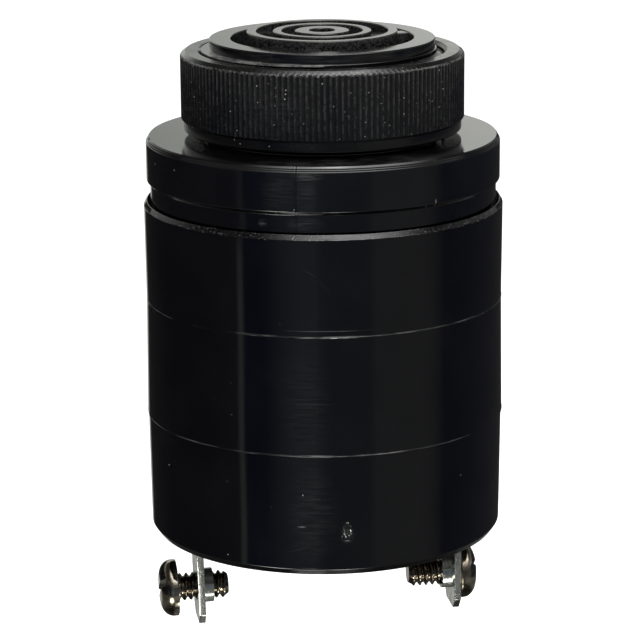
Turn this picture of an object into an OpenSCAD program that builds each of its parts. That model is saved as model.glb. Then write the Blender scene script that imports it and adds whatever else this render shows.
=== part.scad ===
// Panel-mount piezo buzzer: a moulded front housing with a ring grille, threaded neck and flange,
// a knurled mounting ring, a glued-on rear case, and two screw terminals in the sealed back end.
// Millimetres. +Z runs along the axis towards the grille, and z = 0 is the flange's top face,
// which seats against the panel. The terminals lie on the X axis.

/* [Rear case] */
// Outside diameter of the rear case at its rim
case_d = 42.96; // [41.5:0.1:46]
// Wall of the rear case
case_wall = 1.7; // [1.4:0.1:2.2]
// Length of the rear case from its rim to its open end
case_len = 40.68; // [38:0.02:60]
// Height of the lower mould line above the open end
low_line = 14.58; // [8:0.02:18]
// Height of the upper mould line above the open end
high_line = 28.68; // [22:0.02:34]
// How far the band under the rim narrows, on the radius, down to the upper mould line
rim_draft = 0.09; // [0:0.01:0.2]
// How far the middle band widens, on the radius, down to the lower mould line
mid_draft = 0.16; // [0:0.01:0.25]
// How far the case steps in, on the radius, under the lower mould line
line_step = 0.09; // [0.02:0.01:0.2]
// How far the end band narrows, on the radius, down to the end chamfer
end_draft = 0.17; // [0:0.01:0.3]
// Width of the chamfer round the open end, across
end_chamfer = 0.52; // [0.2:0.02:1]
// Height of the chamfer round the open end
end_chamfer_h = 0.75; // [0.3:0.05:1.5]
// How far the flash stands out along a mould line
flash = 0.05; // [0.02:0.01:0.1]
// Width of the rim's chamfer, across
rim_chamfer = 0.48; // [0.2:0.02:0.8]
// Height of the rim's chamfer
rim_chamfer_h = 0.6; // [0.3:0.05:1]

/* [Flange] */
// How far the flange stands inside the rear case's rim, on the radius
flange_inset = 0.38; // [-2:0.01:0.6]
// Thickness of the flange, its lower bevel included
flange_h = 5.6; // [4:0.1:8]
// Width of the flange's top bevel, across
flange_bevel = 0.4; // [0.2:0.05:0.8]
// Height of the flange's top bevel
flange_bevel_h = 0.74; // [0.3:0.02:1]
// Height of the flange's lower bevel
under_bevel_h = 0.5; // [0.2:0.05:0.8]
// Depth of the groove between the flange and the rear case, measured from the flange
groove_deep = 0.45; // [0.2:0.05:0.8]
// Width of the groove between the flange and the rear case
groove_w = 2.0; // [1:0.1:3]
// Length of the spigot that is glued into the rear case
spigot_len = 6.0; // [4:0.5:9]
// Gap between the spigot and the rear case, on the radius
spigot_gap = 0.05; // [0.02:0.01:0.15]
// Wall of the spigot, round the diaphragm's pocket
spigot_wall = 1.83; // [1.2:0.05:2.4]

/* [Neck and grille] */
// Outside diameter of the neck's thread
neck_d = 28.8; // [28:0.1:30]
// Height of the neck above the flange
neck_h = 10.24; // [9:0.1:14]
// Wall of the neck, its thread included
neck_wall = 1.9; // [1.7:0.1:2.4]
// Pitch of the neck's thread
neck_pitch = 1.5875; // [1:0.1:2]
// Depth of the neck's thread
neck_thread = 0.55; // [0.3:0.05:0.8]
// Diameter of the hole in the middle of the grille
hole_d = 3.04; // [2:0.1:3.6]
// Width of the grille's innermost ring, across
ring_1_w = 1.71; // [1:0.1:2]
// Width of the slot outside the innermost ring
slot_1_w = 1.57; // [1:0.1:1.8]
// Width of the grille's second ring, across
ring_2_w = 1.03; // [0.8:0.1:1.4]
// Width of the slot outside the second ring
slot_2_w = 1.97; // [1.4:0.1:2.2]
// Width of the grille's third ring, across
ring_3_w = 1.12; // [0.8:0.1:1.4]
// Width of the slot inside the outer band
slot_3_w = 1.92; // [1.4:0.1:2.2]
// Width of the grille's outer band, across
band_w = 2.52; // [1.6:0.1:2.8]
// Height of the outer band above the neck's end
band_h = 1.26; // [0.6:0.1:2]
// Height of the three rings above the outer band
rings_rise = 0.8; // [0.2:0.1:1.5]
// Thickness of the grille from the neck's end inwards
grille_t = 2.2; // [1.6:0.1:3]
// Number of spokes that carry the rings
spokes = 3; // [3:1:6]
// Width of a spoke
spoke_w = 1.9; // [1:0.1:2.5]
// Drop from the outer band's top to a spoke's top
spoke_drop = 0.1; // [0:0.05:0.6]
// How far the spokes' backs stand in from the rings' backs
spoke_inset = 0.4; // [0.1:0.1:1]
// Direction of the first spoke, in degrees from +X
spoke_angle = 14; // [0:1:119]

/* [Mounting ring] */
// Diameter over the ring's knurl
knurl_d = 33.66; // [33:0.1:38]
// Number of teeth round the knurl
knurl_teeth = 154; // [90:1:160]
// Depth of the knurl
knurl_depth = 0.16; // [0.1:0.01:0.4]
// Height of the ring
ring_h = 9.42; // [6:0.1:9.6]
// Diameter of the smooth lip under the knurl
lip_d = 33.0; // [32:0.1:33.2]
// Height of the smooth lip
lip_h = 1.19; // [0.6:0.1:2]
// Height of the bevel between lip and knurl
lip_bevel_h = 0.3; // [0.1:0.05:0.6]
// Width of the ring's top chamfer, across
top_chamfer = 0.63; // [0.3:0.05:0.9]
// Height of the ring's top chamfer
top_chamfer_h = 0.57; // [0.3:0.05:0.9]
// Width of the chamfer at each end of the ring's bore
bore_chamfer = 0.28; // [0.1:0.02:0.5]
// Gap between the ring's underside and the flange, as the ring stands
ring_gap = 0.68; // [0.1:0.02:0.7]
// Running gap between the ring's bore and the neck, on the radius
ring_clear = 0.07; // [0.02:0.01:0.1]

/* [Terminals] */
// Width of a terminal blade
blade_w = 6.35; // [4.8:0.05:7]
// Thickness of a terminal blade
blade_t = 0.81; // [0.6:0.01:1]
// Distance from the case's inner wall to a blade's middle plane
blade_inset = 3.7; // [3.5:0.05:6]
// How far a blade stands out of the case's open end
blade_out = 12.12; // [11:0.02:14]
// Width of the cut corners at a blade's end
blade_corner_w = 1.2; // [0.6:0.1:2]
// Height of the cut corners at a blade's end
blade_corner_h = 1.4; // [0.6:0.1:2]
// Inward lean of the left blade, in degrees
left_lean = 1.5; // [0:0.1:3]
// Distance from the case's open end to the screws' axis
screw_drop = 7.87; // [7:0.01:9]
// Diameter of the threaded collar behind a blade
collar_d = 4.25; // [4.1:0.05:5]
// Height of the threaded collar
collar_h = 1.25; // [1:0.05:2]
// Width of the narrow leg that joins a blade to the circuit board
leg_w = 2.4; // [1.6:0.1:3.2]

/* [Terminal screws] */
// Outside diameter of a screw's thread
screw_d = 3.45; // [2.8:0.05:3.5]
// Pitch of a screw's thread
screw_pitch = 0.79375; // [0.6:0.01:1]
// Depth of a screw's thread
screw_thread = 0.38; // [0.2:0.02:0.5]
// Length of a screw under its head
screw_len = 6.3; // [5:0.05:8]
// Diameter of a screw's head
head_d = 7.0; // [6:0.1:8]
// Thickness of a screw's head
head_h = 2.15; // [1.4:0.05:2.6]
// Height of the straight edge of the head
head_edge = 0.6; // [0.3:0.05:1]
// Width of the rounding from the head's edge to its flat crown, across
head_round = 2.0; // [0.6:0.1:3]
// Width of the driver slot
drive_w = 0.9; // [0.6:0.05:1.2]
// Depth of the driver slot
drive_deep = 0.8; // [0.5:0.05:1.1]
// How far the left screw's slot is turned from the blade's width, in degrees
left_slot_turn = 33; // [-90:1:90]
// How far the right screw's slot is turned from the blade's width, in degrees
right_slot_turn = 40; // [-90:1:90]
// Gap between the left screw's head and its blade
left_gap = 2.35; // [0.1:0.05:3]
// Gap between the right screw's head and its blade
right_gap = 0.1; // [0.05:0.05:3]
// Running gap between a screw and its threaded hole, on the radius
screw_clear = 0.05; // [0.02:0.01:0.1]

/* [Transducer] */
// Thickness of the brass diaphragm
brass_t = 0.3; // [0.2:0.05:0.5]
// Width of bare brass round the ceramic disc
brass_rim = 5.0; // [4.4:0.1:7]
// Thickness of the ceramic disc
ceramic_t = 0.25; // [0.2:0.05:0.5]
// Thickness of the flange over the diaphragm's pocket
roof_t = 2.0; // [1.5:0.1:2.4]
// Gap between the diaphragm and the wall of its pocket, on the radius
pocket_gap = 0.4; // [0.1:0.05:0.6]
// Width of the rubber seat under the diaphragm's rim
seat_w = 1.8; // [1:0.1:2.2]
// Thickness of the rubber seat
seat_t = 0.8; // [0.4:0.1:1.2]
// Width of the ring that holds the diaphragm in
keeper_w = 1.9; // [1:0.1:2.4]
// Height of the ring that holds the diaphragm in
keeper_h = 2.0; // [1.2:0.1:3]

/* [Circuit board] */
// Thickness of the circuit board
board_t = 1.6; // [1:0.1:2]
// Gap between the circuit board and the case, on the radius
board_gap = 0.3; // [0.1:0.05:0.6]
// Distance from the case's open end to the sealant's face
sealant_recess = 0.88; // [0.2:0.02:1.5]
// Depth of the sealant that is poured on the circuit board's back
sealant_h = 7.9; // [5:0.1:10]
// Radius of a component's lead
lead_r = 0.3; // [0.2:0.05:0.4]
// How far the leads pass the back of the circuit board
lead_tail = 1.2; // [0.5:0.1:2]
// Gap round a lead in the circuit board, on the radius
lead_gap = 0.1; // [0.02:0.02:0.2]
// Length of a resistor's body
resistor_len = 6.3; // [4:0.1:7]
// Radius of a resistor's body
resistor_r = 1.15; // [0.8:0.05:1.3]
// Distance between a resistor's leads
resistor_span = 9.6; // [8.4:0.2:10.2]
// Distance from one resistor to the next
resistor_step = 4.0; // [3:0.1:4.2]
// Length of the diode's body
diode_len = 5.1; // [4:0.1:6]
// Radius of the diode's body
diode_r = 1.35; // [0.9:0.05:1.5]
// Radius of the supply capacitor's can
can_r = 3.2; // [2:0.1:3.4]
// Height of the supply capacitor's can
can_h = 9.0; // [5:0.5:12]
// Radius of the ceramic capacitor's body
bead_r = 3.0; // [2:0.1:3.4]
// Thickness of the ceramic capacitor's body
bead_t = 2.2; // [1.4:0.1:2.6]
// Radius of the transistor's body
transistor_r = 2.35; // [2:0.05:2.5]
// Height of the transistor's body
transistor_h = 4.7; // [4:0.1:5.2]
// Distance between the transistor's legs
transistor_step = 1.6; // [1.3:0.05:1.7]
// Height at which the upright components stand off the circuit board
standoff = 1.6; // [0.8:0.1:3]

/* [Transducer wires] */
// Radius of an insulated wire
wire_r = 0.45; // [0.3:0.05:0.6]
// How far a wire bows out on its way
wire_bow = 4.0; // [1:0.5:6]
// Height of a solder joint
solder_h = 0.6; // [0.4:0.05:1]
// Radius of a solder joint
solder_r = 1.2; // [0.8:0.05:1.4]

/* [Hidden] */
$fn = 96;

// Cuts run this far past the faces they cut
over = 0.5;

// Rear case and groove
case_r = case_d / 2;
case_in = case_r - case_wall;
rim_z = -flange_h - groove_w;
end_z = rim_z - case_len;
low_z = end_z + low_line;
high_z = end_z + high_line;
high_r = case_r - rim_draft;
mid_r = high_r + mid_draft;
low_r = mid_r - line_step;
end_r = low_r - end_draft;
flash_h = 0.12;

// Front housing
flange_r = case_r - flange_inset;
groove_r = flange_r - groove_deep;
spigot_r = case_in - spigot_gap;
neck_r = neck_d / 2;
chamber_r = neck_r - neck_wall;
pocket_r = spigot_r - spigot_wall;
grille_z = neck_h - grille_t;
band_z = neck_h + band_h;
rings_z = band_z + rings_rise;
spoke_z = band_z - spoke_drop;
ring_1_in = hole_d / 2;
ring_1_out = ring_1_in + ring_1_w;
ring_2_in = ring_1_out + slot_1_w;
ring_2_out = ring_2_in + ring_2_w;
ring_3_in = ring_2_out + slot_2_w;
ring_3_out = ring_3_in + ring_3_w;
band_in = ring_3_out + slot_3_w;
band_out = band_in + band_w;
spoke_from = (ring_1_in + ring_1_out) / 2;
spoke_to = (band_in + band_out) / 2;

// Mounting ring
knurl_r = knurl_d / 2;
lip_r = lip_d / 2;
bore_r = neck_r + ring_clear;

// Transducer, from the roof of its pocket downwards
brass_r = pocket_r - pocket_gap;
ceramic_r = brass_r - brass_rim;
keeper_in = pocket_r - keeper_w;
seat_z = -roof_t - seat_t;
brass_z = seat_z - brass_t;
ceramic_z = brass_z - ceramic_t;
keeper_z = brass_z - keeper_h;

// Sealant and circuit board
sealant_z = end_z + sealant_recess;
board_z = sealant_z + sealant_h;
board_top = board_z + board_t;
board_r = case_in - board_gap;
tail_z = board_z - lead_tail;

// Terminals and screws
blade_x = case_in - blade_inset;
screw_z = end_z - screw_drop;
hole_r = screw_d / 2 + screw_clear;

// Where the components stand on the circuit board
resistor_x = -10;
resistors_n = 3;
parts_y = -1;
diode_x = 4;
diode_span = 9;
can_at = [10, 2];
can_span = 2.5;
bead_at = [-7, -10.5];
bead_span = 5;
transistor_at = [3, -11];

// Each wire: its foot on the circuit board and its end at the transducer
joint_inset = 3.5;
drive_from = [-4, 9.5];
drive_to = (ceramic_r - 1.8 * joint_inset) * [cos(141), sin(141)];
feedback_from = [0, ceramic_r - 2];
feedback_to = [0, ceramic_r - joint_inset];
ground_from = [4, 9.5];
ground_to = (ceramic_r + keeper_in) / 2 * [cos(50), sin(50)];

// A thread's outline as points, from z0 up: crests of radius r, roots t deeper, n grooves
function thread_points(r, t, pitch, z0, n) =
    [for (i = [0 : n - 1]) each
        [[r, z0 + i * pitch + pitch * 0.1], [r - t, z0 + (i + 0.5) * pitch], [r, z0 + (i + 0.9) * pitch]]];

// Leads of the components, as places on the circuit board
function pair(at, span, across) = across
    ? [at + [span / 2, 0], at - [span / 2, 0]]
    : [at + [0, span / 2], at - [0, span / 2]];
function resistor_at(i) = [resistor_x + i * resistor_step, parts_y];
LEADS = concat(
    [for (i = [0 : resistors_n - 1]) each pair(resistor_at(i), resistor_span, false)],
    pair([diode_x, parts_y], diode_span, false),
    pair(can_at, can_span, true),
    pair(bead_at, bead_span, true),
    [for (i = [-1 : 1]) transistor_at + [i * transistor_step, 0]]
);

// A flat tube standing on z
module tube(outer, inner, z, h) {
    translate([0, 0, z])
        difference() {
            cylinder(r = outer, h = h);
            translate([0, 0, -over])
                cylinder(r = inner, h = h + 2 * over);
        }
}

module front_housing() {
    neck_turns = floor((neck_h - 1) / neck_pitch);
    thread_z = (neck_h - neck_turns * neck_pitch) / 2;
    color([0.09, 0.09, 0.09]) {
        // Spigot, groove, flange, neck and outer band
        rotate_extrude()
            polygon(concat(
                [[pocket_r, rim_z - spigot_len], [spigot_r, rim_z - spigot_len], [spigot_r, rim_z],
                 [groove_r, rim_z], [groove_r, -flange_h], [flange_r, under_bevel_h - flange_h],
                 [flange_r, -flange_bevel_h], [flange_r - flange_bevel, 0], [neck_r, 0]],
                thread_points(neck_r, neck_thread, neck_pitch, thread_z, neck_turns),
                [[neck_r, neck_h], [band_out, neck_h], [band_out, band_z], [band_in, band_z],
                 [band_in, grille_z], [chamber_r, grille_z], [chamber_r, -roof_t], [pocket_r, -roof_t]]
            ));
        // Three raised rings
        tube(ring_1_out, ring_1_in, grille_z, rings_z - grille_z);
        tube(ring_2_out, ring_2_in, grille_z, rings_z - grille_z);
        tube(ring_3_out, ring_3_in, grille_z, rings_z - grille_z);
        // Spokes, each from inside the innermost ring's wall to inside the outer band
        for (i = [0 : spokes - 1])
            rotate([0, 0, spoke_angle + i * 360 / spokes])
                translate([spoke_from, -spoke_w / 2, grille_z + spoke_inset])
                    cube([spoke_to - spoke_from, spoke_w, spoke_z - grille_z - spoke_inset]);
    }
}

// The knurl's outline: one crest and one root a tooth
module knurl_outline() {
    step = 360 / knurl_teeth;
    root_r = knurl_r - knurl_depth;
    polygon([for (i = [0 : knurl_teeth - 1]) each
        [[knurl_r * cos(i * step), knurl_r * sin(i * step)],
         [root_r * cos((i + 0.5) * step), root_r * sin((i + 0.5) * step)]]]);
}

module mounting_ring() {
    turns = floor((ring_h - 2) / neck_pitch);
    thread_z = (ring_h - turns * neck_pitch) / 2;
    bevel_slope = lip_bevel_h / (knurl_r - lip_r);
    chamfer_slope = top_chamfer_h / top_chamfer;
    color([0.12, 0.12, 0.12])
        translate([0, 0, ring_gap])
            difference() {
                intersection() {
                    // The blank runs on past the crests, so that the knurl alone sets the diameter
                    rotate_extrude()
                        polygon([[0, 0], [lip_r, 0], [lip_r, lip_h],
                            [knurl_r + over, lip_h + lip_bevel_h + over * bevel_slope],
                            [knurl_r + over, ring_h - top_chamfer_h - over * chamfer_slope],
                            [knurl_r - top_chamfer, ring_h], [0, ring_h]]);
                    union() {
                        cylinder(r = lip_r, h = lip_h);
                        translate([0, 0, lip_h])
                            linear_extrude(ring_h - lip_h)
                                knurl_outline();
                    }
                }
                // Bore, open at both ends, with the thread cut into it
                rotate_extrude()
                    polygon(concat(
                        [[0, -over], [bore_r + bore_chamfer + over, -over], [bore_r + bore_chamfer, 0],
                         [bore_r, bore_chamfer]],
                        thread_points(bore_r, -neck_thread, neck_pitch, thread_z, turns),
                        [[bore_r, ring_h - bore_chamfer], [bore_r + bore_chamfer, ring_h],
                         [bore_r + bore_chamfer + over, ring_h + over], [0, ring_h + over]]
                    ));
            }
}

module rear_case() {
    color([0.08, 0.08, 0.08])
        rotate_extrude()
            polygon([[case_in, end_z], [end_r - end_chamfer, end_z], [end_r, end_z + end_chamfer_h],
                [low_r, low_z - flash_h],
                [mid_r + flash, low_z - flash_h], [mid_r + flash, low_z], [mid_r, low_z],
                [high_r, high_z - flash_h], [high_r + flash, high_z - flash_h],
                [high_r + flash, high_z], [high_r, high_z],
                [case_r, rim_z - rim_chamfer_h], [case_r - rim_chamfer, rim_z], [case_in, rim_z]]);
}

// One hole for each lead, from the sealant up through the circuit board
module lead_holes(r, z, h) {
    for (at = LEADS)
        translate([at[0], at[1], z])
            cylinder(r = r, h = h);
}

// A block as wide and thick as a terminal blade, on each side
module blade_blocks(w, t, z, h) {
    for (side = [-1, 1])
        translate([side * blade_x - t / 2, -w / 2, z])
            cube([t, w, h]);
}

module end_sealant() {
    color([0.11, 0.11, 0.12])
        difference() {
            translate([0, 0, sealant_z])
                cylinder(r = case_in, h = sealant_h);
            blade_blocks(blade_w, blade_t, sealant_z - over, sealant_h + 2 * over);
            lead_holes(lead_r, tail_z, lead_tail + over);
        }
}

module circuit_board() {
    color([0.55, 0.42, 0.2])
        difference() {
            translate([0, 0, board_z])
                cylinder(r = board_r, h = board_t);
            blade_blocks(leg_w + 2 * lead_gap, blade_t + 2 * lead_gap, board_z - over, board_t + 2 * over);
            lead_holes(lead_r + lead_gap, board_z - over, board_t + 2 * over);
        }
}

// A terminal on the +X side: a blade with a threaded collar on its inner face, and a leg to the board.
// Below the sealant's face it leans inwards by an angle.
module terminal(lean) {
    tip_z = end_z - blade_out;
    shift = (sealant_z - tip_z) * tan(lean);
    color([0.66, 0.67, 0.68])
        difference() {
            union() {
                intersection() {
                    rotate([90, 0, 90])
                        linear_extrude(2 * blade_x)
                            polygon([[-blade_w / 2, tip_z + blade_corner_h],
                                [-blade_w / 2 + blade_corner_w, tip_z],
                                [blade_w / 2 - blade_corner_w, tip_z],
                                [blade_w / 2, tip_z + blade_corner_h],
                                [blade_w / 2, board_z], [leg_w / 2, board_z],
                                [leg_w / 2, board_top + lead_tail], [-leg_w / 2, board_top + lead_tail],
                                [-leg_w / 2, board_z], [-blade_w / 2, board_z]]);
                    rotate([90, 0, 0])
                        linear_extrude(2 * blade_w, center = true)
                            polygon([[blade_x - blade_t / 2 - shift, tip_z],
                                [blade_x + blade_t / 2 - shift, tip_z],
                                [blade_x + blade_t / 2, sealant_z],
                                [blade_x + blade_t / 2, board_top + lead_tail + over],
                                [blade_x - blade_t / 2, board_top + lead_tail + over],
                                [blade_x - blade_t / 2, sealant_z]]);
                }
                on_blade(lean)
                    rotate([0, -90, 0])
                        cylinder(d = collar_d, h = blade_t / 2 + collar_h);
            }
            on_blade(lean)
                rotate([0, 90, 0])
                    cylinder(r = hole_r, h = 4 * (blade_t + collar_h), center = true);
        }
}

// Puts things drawn at the origin, with +X outwards, on the screw's axis at a leaning blade's middle
module on_blade(lean) {
    translate([blade_x, 0, sealant_z])
        rotate([0, lean, 0])
            translate([0, 0, screw_z - sealant_z])
                children();
}

// A binding-head screw. It points along -X, with its head's underside at the origin, and its slot is
// turned from Y by an angle.
module terminal_screw(slot_turn) {
    turns = floor((screw_len - screw_pitch) / screw_pitch);
    tip_z = screw_len - turns * screw_pitch;
    root = screw_d / 2 - screw_thread;
    color([0.72, 0.69, 0.64])
        rotate([0, 90, 0]) {
            difference() {
                rotate_extrude()
                    polygon(concat(
                        [[0, 0], [head_d / 2, 0]],
                        [for (t = [0 : 15 : 90])
                            [head_d / 2 - head_round * (1 - cos(t)),
                             head_edge + (head_h - head_edge) * sin(t)]],
                        [[0, head_h]]
                    ));
                rotate([0, 0, -slot_turn])
                    translate([-drive_w / 2, -head_d, head_h - drive_deep])
                        cube([drive_w, 2 * head_d, drive_deep + over]);
            }
            mirror([0, 0, 1])
                rotate_extrude()
                    polygon(concat(
                        [[0, 0], [screw_d / 2, 0]],
                        thread_points(screw_d / 2, screw_thread, screw_pitch, 0, turns),
                        [[screw_d / 2, screw_len - tip_z / 2], [root, screw_len], [0, screw_len]]
                    ));
        }
}

module terminal_left() {
    mirror([1, 0, 0])
        terminal(left_lean);
}

module terminal_right() {
    terminal(0);
}

module terminal_screw_left() {
    mirror([1, 0, 0])
        on_blade(left_lean)
            translate([blade_t / 2 + left_gap, 0, 0])
                terminal_screw(left_slot_turn);
}

module terminal_screw_right() {
    on_blade(0)
        translate([blade_t / 2 + right_gap, 0, 0])
            terminal_screw(right_slot_turn);
}

module diaphragm_seat() {
    color([0.75, 0.72, 0.68])
        tube(brass_r, brass_r - seat_w, seat_z, seat_t);
}

module brass_diaphragm() {
    color([0.8, 0.62, 0.28])
        translate([0, 0, brass_z])
            cylinder(r = brass_r, h = brass_t);
}

module ceramic_disc() {
    color([0.86, 0.85, 0.8])
        translate([0, 0, ceramic_z])
            cylinder(r = ceramic_r, h = ceramic_t);
}

module diaphragm_keeper() {
    color([0.2, 0.2, 0.2])
        tube(pocket_r, keeper_in, keeper_z, keeper_h);
}

// Two bent leads of an axial component that lies along Y at a height above the board
module axial_leads(span, len, height) {
    for (side = [-1, 1])
        mirror([0, side < 0 ? 1 : 0, 0]) {
            translate([0, len / 2 - over, height])
                rotate([-90, 0, 0])
                    cylinder(r = lead_r, h = span / 2 - len / 2 + over, $fn = 24);
            translate([0, span / 2, height])
                sphere(r = lead_r, $fn = 24);
            translate([0, span / 2, tail_z - board_top])
                cylinder(r = lead_r, h = height + board_top - tail_z, $fn = 24);
        }
}

module resistors() {
    color([0.78, 0.66, 0.46])
        for (i = [0 : resistors_n - 1])
            translate([resistor_at(i)[0], resistor_at(i)[1], board_top]) {
                translate([0, 0, resistor_r + standoff / 2])
                    rotate([90, 0, 0])
                        cylinder(r = resistor_r, h = resistor_len, center = true, $fn = 48);
                axial_leads(resistor_span, resistor_len, resistor_r + standoff / 2);
            }
}

module protection_diode() {
    color([0.14, 0.14, 0.14])
        translate([diode_x, parts_y, board_top]) {
            translate([0, 0, diode_r + standoff / 2])
                rotate([90, 0, 0])
                    cylinder(r = diode_r, h = diode_len, center = true, $fn = 48);
            axial_leads(diode_span, diode_len, diode_r + standoff / 2);
        }
}

// Straight leads that come down from an upright component
module upright_leads(places, height) {
    for (at = places)
        translate([at[0], at[1], tail_z])
            cylinder(r = lead_r, h = board_top + height - tail_z, $fn = 24);
}

module supply_capacitor() {
    color([0.12, 0.2, 0.4]) {
        translate([can_at[0], can_at[1], board_top + standoff])
            cylinder(r = can_r, h = can_h, $fn = 64);
        upright_leads(pair(can_at, can_span, true), standoff + over);
    }
}

module ceramic_capacitor() {
    color([0.82, 0.52, 0.2]) {
        translate([bead_at[0], bead_at[1], board_top + standoff + bead_r])
            rotate([90, 0, 0])
                cylinder(r = bead_r, h = bead_t, center = true, $fn = 64);
        upright_leads(pair(bead_at, bead_span, true), standoff + bead_r);
    }
}

module driver_transistor() {
    flat_y = -transistor_r * 0.65;
    color([0.13, 0.13, 0.13]) {
        translate([transistor_at[0], transistor_at[1], board_top + standoff])
            intersection() {
                cylinder(r = transistor_r, h = transistor_h, $fn = 64);
                translate([-transistor_r, flat_y, 0])
                    cube([2 * transistor_r, 2 * transistor_r, transistor_h]);
            }
        upright_leads([for (i = [-1 : 1]) transistor_at + [i * transistor_step, 0]], standoff + over);
    }
}

// A wire's middle line from its foot to its end: it leaves and arrives upright and bows out between
function ease(t) = t * t * (3 - 2 * t);
function wire_point(from, to, low, high, t) = [
    from[0] + (to[0] - from[0]) * ease(t),
    from[1] + (to[1] - from[1]) * ease(t) - wire_bow * pow(sin(180 * t), 2),
    low + (high - low) * t
];

// A round wire of 8 sides swept along that line, one ring of points a step
module wire(from, to, high) {
    steps = 24;
    sides = 8;
    rings = [for (i = [0 : steps])
        let (
            t = i / steps,
            here = wire_point(from, to, board_top, high, t),
            ahead = wire_point(from, to, board_top, high, min(t + 0.01, 1)),
            behind = wire_point(from, to, board_top, high, max(t - 0.01, 0)),
            run = i == 0 || i == steps ? [0, 0, 1] : (ahead - behind) / norm(ahead - behind),
            side = cross([0, 1, 0], run) / norm(cross([0, 1, 0], run)),
            up = cross(run, side)
        )
        [for (k = [0 : sides - 1])
            here + wire_r * (side * cos(k * 360 / sides) + up * sin(k * 360 / sides))]];
    polyhedron(
        points = [for (ring = rings) each ring],
        faces = concat(
            [[for (k = [0 : sides - 1]) k]],
            [[for (k = [sides - 1 : -1 : 0]) steps * sides + k]],
            [for (i = [0 : steps - 1], k = [0 : sides - 1])
                [i * sides + k, (i + 1) * sides + k, (i + 1) * sides + (k + 1) % sides,
                 i * sides + (k + 1) % sides]]
        )
    );
}

module drive_wire() {
    color([0.7, 0.08, 0.07])
        wire(drive_from, drive_to, ceramic_z - solder_h);
}

module feedback_wire() {
    color([0.1, 0.2, 0.6])
        wire(feedback_from, feedback_to, ceramic_z - solder_h);
}

module ground_wire() {
    color([0.1, 0.1, 0.1])
        wire(ground_from, ground_to, brass_z - solder_h);
}

// Cones of solder under the transducer: two on the ceramic disc and one on the brass
module solder_joints() {
    color([0.75, 0.75, 0.76]) {
        translate([drive_to[0], drive_to[1], ceramic_z - solder_h])
            cylinder(r1 = wire_r, r2 = solder_r, h = solder_h, $fn = 48);
        translate([feedback_to[0], feedback_to[1], ceramic_z - solder_h])
            cylinder(r1 = wire_r, r2 = solder_r, h = solder_h, $fn = 48);
        translate([ground_to[0], ground_to[1], brass_z - solder_h])
            cylinder(r1 = wire_r, r2 = solder_r, h = solder_h, $fn = 48);
    }
}

front_housing();
mounting_ring();
rear_case();
end_sealant();
terminal_left();
terminal_right();
terminal_screw_left();
terminal_screw_right();
diaphragm_seat();
brass_diaphragm();
ceramic_disc();
diaphragm_keeper();
circuit_board();
driver_transistor();
resistors();
protection_diode();
supply_capacitor();
ceramic_capacitor();
drive_wire();
feedback_wire();
ground_wire();
solder_joints();
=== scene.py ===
import math

import bmesh
import bpy
import numpy as np
from mathutils import Matrix, Vector, noise


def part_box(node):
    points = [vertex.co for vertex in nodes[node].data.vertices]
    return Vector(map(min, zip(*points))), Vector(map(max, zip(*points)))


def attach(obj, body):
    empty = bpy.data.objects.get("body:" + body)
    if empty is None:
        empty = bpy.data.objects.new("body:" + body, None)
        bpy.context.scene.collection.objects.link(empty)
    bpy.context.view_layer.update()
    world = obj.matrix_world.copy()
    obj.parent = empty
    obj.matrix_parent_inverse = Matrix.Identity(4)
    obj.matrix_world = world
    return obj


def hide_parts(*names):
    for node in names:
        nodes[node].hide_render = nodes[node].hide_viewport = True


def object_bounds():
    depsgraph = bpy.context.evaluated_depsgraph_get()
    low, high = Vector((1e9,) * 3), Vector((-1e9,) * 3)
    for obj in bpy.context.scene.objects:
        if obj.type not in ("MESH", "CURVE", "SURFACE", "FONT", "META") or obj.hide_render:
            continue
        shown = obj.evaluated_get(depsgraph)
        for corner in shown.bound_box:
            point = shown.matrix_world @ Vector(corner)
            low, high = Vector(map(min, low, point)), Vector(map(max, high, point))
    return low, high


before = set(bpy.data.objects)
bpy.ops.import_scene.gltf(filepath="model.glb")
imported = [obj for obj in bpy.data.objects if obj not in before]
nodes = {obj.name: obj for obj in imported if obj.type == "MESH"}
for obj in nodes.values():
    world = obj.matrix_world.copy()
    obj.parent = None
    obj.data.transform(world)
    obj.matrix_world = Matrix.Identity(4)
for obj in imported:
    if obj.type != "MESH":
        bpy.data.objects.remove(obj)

cad_low, cad_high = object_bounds()
scene = bpy.context.scene
scene.view_settings.view_transform = "Standard"

# --- Camera -------------------------------------------------------------------
# A long lens a little above the buzzer's neck, looking down on it, turned nine degrees from the
# terminals' common plane so that the left terminal is seen slightly from outside.
MM = 0.001
camera_bearing = math.radians(9)
camera_distance = 325.3 * MM
camera_height = 61.7 * MM
camera_turn = camera_bearing - math.radians(0.087)
camera_pitch = math.radians(14.61)
camera_roll = math.radians(0.43)


def seen_from_camera(azimuth, elevation, distance):
    """A place on a sphere round the part. Azimuth 0 is the camera's side, and it grows to the right."""
    a = math.radians(azimuth) - camera_bearing
    e = math.radians(elevation)
    return distance * Vector((math.sin(a) * math.cos(e), -math.cos(a) * math.cos(e), math.sin(e)))


camera_data = bpy.data.cameras.new("camera")
camera_data.lens = 155.925
camera_data.sensor_width = 36
camera_data.clip_start = 0.01
camera_data.clip_end = 20
camera = bpy.data.objects.new("camera", camera_data)
scene.collection.objects.link(camera)
scene.camera = camera
looking = Vector((math.sin(camera_turn) * math.cos(camera_pitch),
                  math.cos(camera_turn) * math.cos(camera_pitch), -math.sin(camera_pitch)))
level_right = Vector((math.cos(camera_turn), -math.sin(camera_turn), 0))
level_up = level_right.cross(looking)
camera_right = math.cos(camera_roll) * level_right - math.sin(camera_roll) * level_up
camera_up = math.sin(camera_roll) * level_right + math.cos(camera_roll) * level_up
camera.matrix_world = Matrix.Translation(
    seen_from_camera(0, 0, camera_distance) + Vector((0, 0, camera_height))
) @ Matrix((camera_right, camera_up, -looking)).transposed().to_4x4()

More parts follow.
